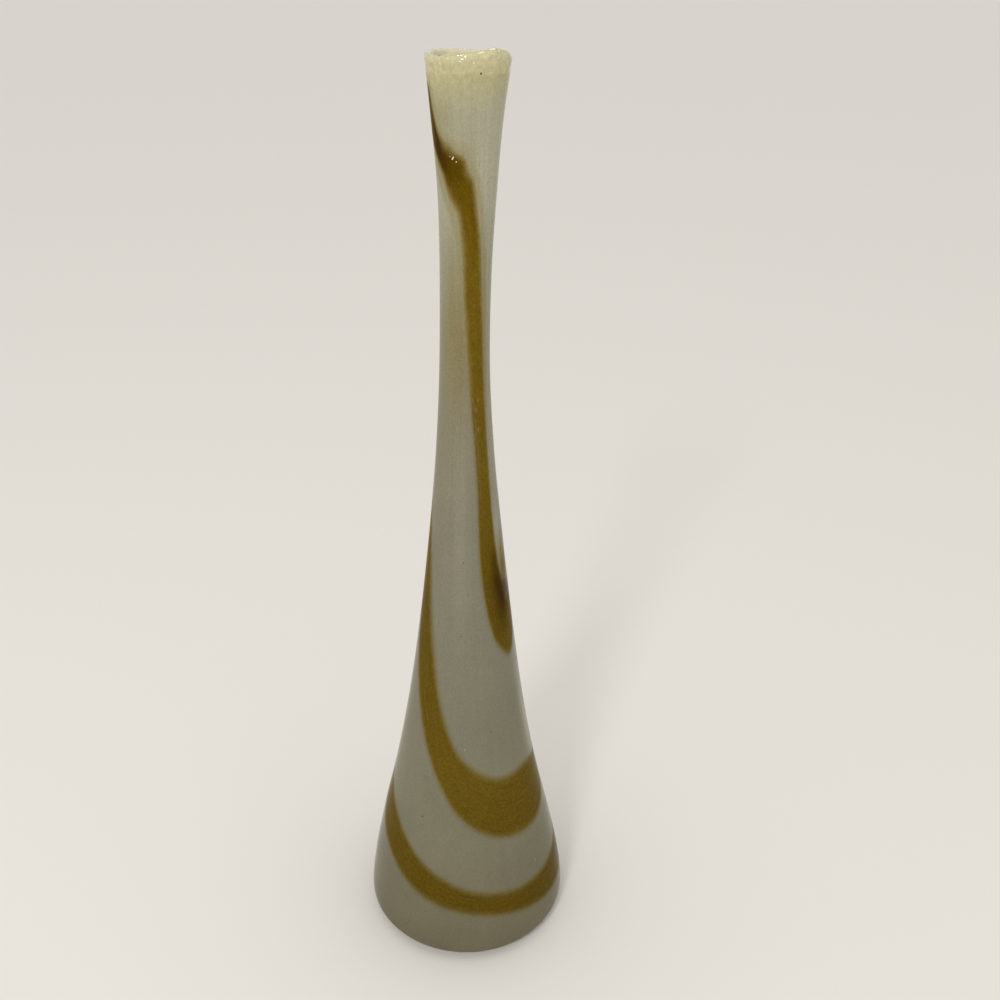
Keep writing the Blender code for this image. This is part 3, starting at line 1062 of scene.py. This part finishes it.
def setIn(bm, surface, degrees, height, width, length, rise, lean=0):
    # a small drop set in the surface, with half of it below and its length leaning to one side
    angle = math.radians(degrees)
    middle = surface(angle, height, 0)
    above = surface(angle, height + smallThings["slopeReach"], 0)
    upwards = (above - middle).normalized()
    sideways = Vector((math.cos(angle), math.sin(angle), 0))
    outwards = sideways.cross(upwards).normalized()
    lying = Matrix.Rotation(math.radians(lean), 3, outwards)
    axes = (lying @ sideways * width / 2, lying @ upwards * length / 2, outwards * rise)
    turn = Matrix(axes).transposed()
    placed = Matrix.Translation(middle) @ turn.to_4x4()
    bmesh.ops.create_icosphere(bm, subdivisions=2, radius=1, matrix=placed)


def makeSmallThings():
    s = smallThings
    draw = random.Random(s["drawFrom"])
    seeds = list(s["seeds"])
    for _ in range(s["moreSeeds"]):
        size = draw.uniform(*s["seedSizes"])
        side = s["behindDegrees"] if draw.random() < s["behindShare"] else s["frontDegrees"]
        degrees = draw.uniform(*side)
        height = s["lowestSeed"] + s["seedSpan"] * draw.random() ** s["seedCrowding"]
        length = size * draw.uniform(*s["seedStretch"])
        seeds.append((degrees, height, size, length, s["seedRise"]))
    bubbles = list(s["bubbles"])
    for _ in range(s["moreBubbles"]):
        height = draw.uniform(*s["bubbleHeights"])
        width = draw.uniform(*s["bubbleWidths"])
        degrees = draw.uniform(*s["bubbleDegrees"])
        length = width * draw.uniform(*s["bubbleStretch"])
        bubbles.append((degrees, height, width, length, s["bubbleRise"]))
    kinds = (
        # the blisters and the lip's drops are painted glints
        ("twist_glint_blisters", onGlass, s["glintBlisters"], "painted glint blister", "amber_glass"),
        ("dark_seeds", onGlass, seeds, "dark seed", "amber_glass"),
        ("pale_bubbles", onGlass, bubbles, "pale bubble", "opal_glass"),
        # the lip's drops are painted glints along the rim
        ("lip_glint_drops", onLip, s["lipGlintDrops"], "painted glint drop", "clear_glass"),
    )
    for name, surface, drops, glass, slot in kinds:
        bm = bmesh.new()
        for drop in drops:
            setIn(bm, surface, *drop)
        makeSmooth(name, bm, smallMaterials[glass])


rows, places = trailRows()
makeBody(rows)
print("body made")
makeTrail(rows, places)
print("trail made")
makeLip()
print("lip made")
makeSmallThings()
print("small things made")

# The floor, the light and the camera
studio = {
    "floorSize": 30,
    "floorColour": (0.790, 0.765, 0.720),
    "floorRoughness": 0.9,
    "floorSpecular": 0.1,
    "worldColour": (0.86, 0.85, 0.83),
    "keyPlace": (-0.5, -1.25, 1.35),
    "keySize": 0.30,
    "keyPower": 8.5,
    "lampTarget": (0, 0, 0.3),
}


def makeStage():
    bm = bmesh.new()
    bmesh.ops.create_grid(bm, x_segments=1, y_segments=1, size=studio["floorSize"])
    mesh = bpy.data.meshes.new("floor")
    bm.to_mesh(mesh)
    bm.free()
    floor = bpy.data.objects.new("floor", mesh)
    bpy.context.scene.collection.objects.link(floor)
    paint = bpy.data.materials.new("pale floor")
    paint.use_nodes = True
    shader = paint.node_tree.nodes["Principled BSDF"]
    shader.inputs["Base Color"].default_value = (*studio["floorColour"], 1)
    shader.inputs["Roughness"].default_value = studio["floorRoughness"]
    shader.inputs["Specular IOR Level"].default_value = studio["floorSpecular"]
    mesh.materials.append(paint)
    world = bpy.data.worlds.new("studio")
    world.use_nodes = True
    world.node_tree.nodes["Background"].inputs["Color"].default_value = (*studio["worldColour"], 1)
    bpy.context.scene.world = world
    lamp = bpy.data.lights.new("key", "AREA")
    lamp.shape = "DISK"
    lamp.size = studio["keySize"]
    lamp.energy = studio["keyPower"]
    key = bpy.data.objects.new("key", lamp)
    bpy.context.scene.collection.objects.link(key)
    key.location = studio["keyPlace"]
    towards = Vector(studio["lampTarget"]) - key.location
    key.rotation_euler = towards.to_track_quat("-Z", "Y").to_euler()


camera = {
    "place": (0, -0.4606, 0.4975),
    "pitch": math.radians(27.715),
    "yaw": math.radians(1.934),
    "roll": math.radians(0.969),
    "lens": 38.95,
    "sensor": 36,
    "clipStart": 0.01,
}


def makeCamera():
    c = camera
    cosYaw, sinYaw = math.cos(c["yaw"]), math.sin(c["yaw"])
    cosPitch, sinPitch = math.cos(c["pitch"]), math.sin(c["pitch"])
    level = Vector((cosYaw, -sinYaw, 0))
    ahead = Vector((sinYaw * cosPitch, cosYaw * cosPitch, -sinPitch))
    upright = Vector((sinYaw * sinPitch, cosYaw * sinPitch, cosPitch))
    right = math.cos(c["roll"]) * level + math.sin(c["roll"]) * upright
    up = math.cos(c["roll"]) * upright - math.sin(c["roll"]) * level
    data = bpy.data.cameras.new("camera")
    data.lens = c["lens"]
    data.sensor_width = c["sensor"]
    data.clip_start = c["clipStart"]
    view = bpy.data.objects.new("camera", data)
    bpy.context.scene.collection.objects.link(view)
    view.matrix_world = Matrix.LocRotScale(
        Vector(c["place"]), Matrix((right, up, -ahead)).transposed().to_quaternion(), None,
    )
    bpy.context.scene.camera = view


makeStage()
makeCamera()
bpy.context.scene.view_settings.view_transform = "Standard"
print("stage made")
